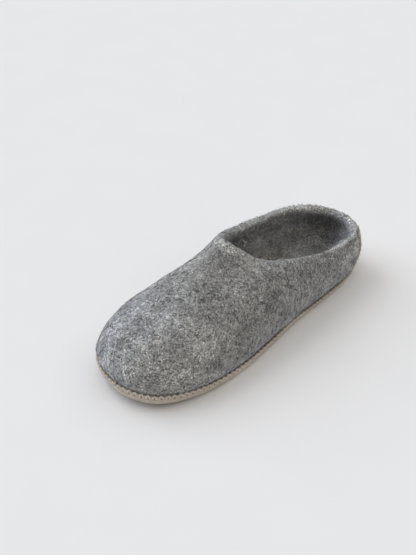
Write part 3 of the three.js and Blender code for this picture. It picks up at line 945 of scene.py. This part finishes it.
def patchEdge(v):
    # half the patch's width, drawn in towards its top
    return (patch["width"] / 2) * (1 - patch["taper"] * v ** 6)


patchLow = float(soleLift(0.0) + last["lipHeight"] * edgeLip(0.0) + last["clearance"])
patchHigh = float(last["throatHeight"] * collarRows[0][3] - patch["topDrop"])
patchTall = patchHigh - patchLow


def patchWave(distance):
    return patch["scallop"] * (0.5 - 0.5 * np.cos(2 * math.pi * distance / patch["pitch"]) - 0.6)


def buildPatch():
    c = np.linspace(-1, 1, patch["columns"] + 1)[None, :]
    v = (1 - (1 - np.linspace(0, 1, patch["rows"] + 1)) ** patch["rowCrowding"])[:, None]
    half = patchEdge(v)
    distance = c * (half + patchWave(v * patchTall) * np.abs(c) ** 6)
    height = patchLow + v * patchTall + patchWave(c * half) * v ** 6
    edge = np.maximum(np.abs(c) ** 24, v ** 40)
    front = onHeel(distance, height,
                   last["clearance"] + patch["thickness"] - patch["rollIn"] * edge)
    front = front + patch["nap"] * lumps(front, 2.6, 5)[..., None] * np.array([0.3, 0.9, 0])
    back = onHeel(distance, height, last["clearance"] + 0 * edge)
    across, down = patch["columns"] + 1, patch["rows"] + 1
    points = np.concatenate([front.reshape(-1, 3), back.reshape(-1, 3)])
    behind = across * down
    faces = []
    for r in range(patch["rows"]):
        for col in range(patch["columns"]):
            a = r * across + col
            quad = (a, a + across, a + across + 1, a + 1)
            faces.append(quad)
            faces.append(tuple(behind + i for i in quad[::-1]))
    border = ([i for i in range(across - 1)] + [r * across + across - 1 for r in range(down - 1)]
              + [(down - 1) * across + i for i in range(across - 1, 0, -1)]
              + [r * across for r in range(down - 1, 0, -1)])
    for k, a in enumerate(border):
        b = border[(k + 1) % len(border)]
        faces.append((a, b, behind + b, behind + a))
    piece = toMesh("heelPatch", points, faces, suedePatch)
    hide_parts("heel_patch")


def patchSeams():
    # start and end of each stitch, as distance and height: both sides, then the top
    pitch, slant = patch["pitch"], patch["slant"]
    seams = []
    for k in range(int(patchTall * 0.86 / pitch)):
        v = (k + 0.5) * pitch / patchTall
        middle = patchLow + v * patchTall + 0.05
        for side in (-1, 1):
            seams.append(((side * (patchEdge(v) - patch["stitchIn"]), middle - slant),
                          (side * (patchEdge(v) + patch["stitchOut"]), middle + slant)))
    topHalf = patchEdge(1.0) - 2
    count = int(2 * topHalf / pitch)
    for k in range(count + 1):
        middle = -topHalf + 2 * topHalf * k / count + 0.05
        seams.append(((middle - slant, patchHigh - patch["stitchIn"]),
                      (middle + slant, patchHigh + patch["stitchOut"])))
    return seams


def sewPatch():
    tubes, holeShades = [], []
    turnIn = 0.45  # then the thread goes down to the felt
    radii = patch["thread"] * np.array([0.455, 0.727, 0.955, 1, 1, 0.955, 0.773, 0.455])
    for (d0, h0), (d1, h1) in patchSeams():
        path = []
        for t in np.linspace(0, 1, 8):
            drop = max(t - turnIn, 0) / (1 - turnIn)
            proud = 0.45 * math.sin(math.pi * t) - 0.25
            path.append(onHeel(d0 + (d1 - d0) * t, h0 + (h1 - h0) * t,
                               last["clearance"] + patch["thickness"] * (1 - drop) + proud))
        tubes.append(threadTube(path, radii))
        # painted shade: a dark tube down the needle hole
        mouth = onHeel(d0, h0, last["clearance"] + patch["thickness"] + 0.1)
        depth = onHeel(d0, h0, last["clearance"] + 0.4)
        holeShades.append(threadTube([mouth + (depth - mouth) * t for t in (0, 0.05, 0.4, 0.8, 1)],
                                patch["hole"] * np.array([0, 1, 1, 0.6, 0])))
    gatherTubes("patchStitches", tubes, sewingThread)
    gatherTubes("patchHoleShades", holeShades, holeShadeFinish)


buildPatch()
sewPatch()
print("heel patch sewn on")

fibres = {
    "pale": 7600, "dark": 5600, "fuzz": 3000,  # how many
    "outsideShare": 0.72, "rimShare": 0.08, "insideShare": 0.2, "rimFuzz": 0.9,
    "length": (2.5, 7.0), "radius": (0.06, 0.15), "curl": 0.35, "wave": 0.1, "lift": 0.28,
    "fuzzLength": (0.8, 2.3), "fuzzRadius": (0.035, 0.07), "fuzzCurl": 0.5, "stand": (0.25, 0.75),
    "tuftAt": (-31, 37.7, 41.4), "tuftRadius": 0.34,
    "tuft": ((-1.4, -2.8, 4.7), (0.5, -3.3, -2.5), (0.8, 1.2, 1.5)),
    "tuftBow": (0.6, 0.3, -0.8),
}


def quadSpots(grid, normals, draw, count):
    # random spots spread evenly over a grid of the felt
    a, b = grid[:-1], grid[1:]
    wide = np.linalg.norm(np.roll(a, -1, 1) - a, axis=-1)
    tall = np.linalg.norm(b - a, axis=-1)
    weight = (wide * tall).ravel()
    picks = draw.choice(len(weight), count, p=weight / weight.sum())
    r, i = np.divmod(picks, grid.shape[1])
    j = (i + 1) % grid.shape[1]
    s, t = draw.random((count, 1)), draw.random((count, 1))
    spot = ((grid[r, i] * (1 - s) + grid[r, j] * s) * (1 - t)
            + (grid[r + 1, i] * (1 - s) + grid[r + 1, j] * s) * t)
    return spot, normals[r, i]


def lyingHair(draw, spot, normal, along, beside):
    length = draw.uniform(*fibres["length"])
    curl = draw.normal() * fibres["curl"]
    wave = draw.normal() * fibres["wave"]
    return [spot + length * (along * t + beside * (curl * (t * t - 0.1) + wave * math.sin(9 * t)))
            + normal * (fibres["lift"] * (1 - 5.5 * t * t)) for t in np.linspace(-0.5, 0.5, 6)]


def standingHair(draw, spot, normal, along, beside):
    length = draw.uniform(*fibres["fuzzLength"])
    stand = draw.uniform(*fibres["stand"])
    curl = draw.normal() * fibres["fuzzCurl"]
    return [spot + length * (along * t * (1 - stand) + beside * curl * t * t
                             + normal * (stand * t * (1 - 0.45 * t))) - 0.2 * normal
            for t in np.linspace(0, 1, 5)]


def layFibres(name, material, seed, count, standing=False):
    draw = np.random.default_rng(seed)
    onRim = fibres["rimShare"] * (fibres["rimFuzz"] if standing else 1)
    hair = standingHair if standing else lyingHair
    thickness = fibres["fuzzRadius"] if standing else fibres["radius"]
    taper = np.array([1, 0.9, 0.8, 0.6, 0.3] if standing else [0.5, 1, 1, 1, 1, 0.5])
    tubes = []
    for grid, normals, share in ((outside[4:], outsideNormals[4:], fibres["outsideShare"]),
                                 (rim, rimNormals, onRim),
                                 (inside[8:], insideNormals[8:], fibres["insideShare"])):
        for spot, normal in zip(*quadSpots(grid, normals, draw, int(count * share))):
            along = np.cross(normal, draw.normal(size=3))
            along /= np.linalg.norm(along)
            radius = draw.uniform(*thickness)
            path = hair(draw, spot, normal, along, np.cross(normal, along))
            tubes.append(threadTube(path, radius * taper, 3))
    gatherTubes(name, tubes, material)


layFibres("paleFibres", paleWool, 11, fibres["pale"])
layFibres("darkFibres", darkWool, 12, fibres["dark"])
layFibres("fuzz", paleWool, 13, fibres["fuzz"], standing=True)


def strayTuft():
    # a few pale hairs curling off the inner wall, just behind the throat
    foot = np.array(fibres["tuftAt"])
    tubes = []
    for way in fibres["tuft"]:
        path = [foot + np.array(way) * t + np.array(fibres["tuftBow"]) * t * (1 - t)
                for t in np.linspace(0, 1, 6)]
        radii = fibres["tuftRadius"] * np.array([0.8, 1, 1, 0.9, 0.7, 0.3])
        tubes.append(threadTube(path, radii, 5))
    gatherTubes("strayTuft", tubes, tuftWool)


strayTuft()
print("fibres laid")

# each light has where it stands, how wide it looks in degrees, its power and its colour
room = {
    "floor": 4.0, "floorColour": (0.81, 0.8, 0.79), "floorPatches": 60, "floorShade": 0.985,
    "world": (1.0, 0.99, 0.975), "worldPower": 0.315,
    "lights": (
        ("windowLight", (-1.5, -0.6, 1.25), 60, 1.66, (0.9, 0.975, 1.09)),
        ("skyLight", (-0.2, 0.75, 1.9), 95, 1.05, (1.0, 1.0, 1.01)),
        ("roomLight", (1.4, -0.3, 1.3), 100, 0.34, (1.06, 0.99, 0.9)),
    ),
    "target": (-27.554, -9.595, 30), "distance": 645,  # millimetres
    "azimuth": 46, "elevation": 36, "roll": -1.2,  # degrees
    "lens": 50, "sensor": 36,
}


def buildFloor():
    size = room["floor"]
    floorMesh = bpy.data.meshes.new("floor")
    floorMesh.from_pydata([(-size, -size, 0), (size, -size, 0), (size, size, 0), (-size, size, 0)],
                          [], [(0, 1, 2, 3)])
    floor = bpy.data.objects.new("floor", floorMesh)
    scene.collection.objects.link(floor)
    material, tree, shader = newFinish("paleFloor", 0.85)
    tone = rampOf(tree, noiseOf(tree, room["floorPatches"], 3, 0.5), [
        (0.3, scaled(room["floorColour"], room["floorShade"])), (0.7, room["floorColour"])])
    tree.links.new(tone, shader.inputs["Base Color"])
    floorMesh.materials.append(material)


def lightRoom():
    world = bpy.data.worlds.new("studio")
    world.use_nodes = True
    setSockets(world.node_tree.nodes["Background"],
               {"Color": (*room["world"], 1), "Strength": room["worldPower"]})
    scene.world = world
    for name, spot, wide, power, colour in room["lights"]:
        lamp = bpy.data.lights.new(name, "SUN")
        lamp.angle = math.radians(wide)
        lamp.energy = power
        lamp.color = colour
        holder = bpy.data.objects.new(name, lamp)
        holder.location = spot
        holder.rotation_euler = (-Vector(spot)).to_track_quat("-Z", "Y").to_euler()
        scene.collection.objects.link(holder)


def placeCamera():
    lens = bpy.data.cameras.new("camera")
    lens.lens = room["lens"]
    lens.sensor_fit = "VERTICAL"
    lens.sensor_height = room["sensor"]
    lens.clip_start = 0.01
    azimuth, elevation, roll = (math.radians(room[key]) for key in ("azimuth", "elevation", "roll"))
    away = Vector((math.sin(azimuth) * math.cos(elevation),
                   -math.cos(azimuth) * math.cos(elevation), math.sin(elevation)))
    right = Vector((math.cos(azimuth), math.sin(azimuth), 0))
    upward = away.cross(right)
    rolledRight = math.cos(roll) * right + math.sin(roll) * upward
    rolledUp = -math.sin(roll) * right + math.cos(roll) * upward
    turned = Matrix((rolledRight, rolledUp, away)).transposed()
    stand = (Vector(room["target"]) + away * room["distance"]) * mm
    eye = bpy.data.objects.new("camera", lens)
    eye.matrix_world = Matrix.Translation(stand) @ turned.to_4x4()
    scene.collection.objects.link(eye)
    scene.camera = eye


buildFloor()
lightRoom()
placeCamera()
scene.view_settings.view_transform = "Standard"
print("room lit")
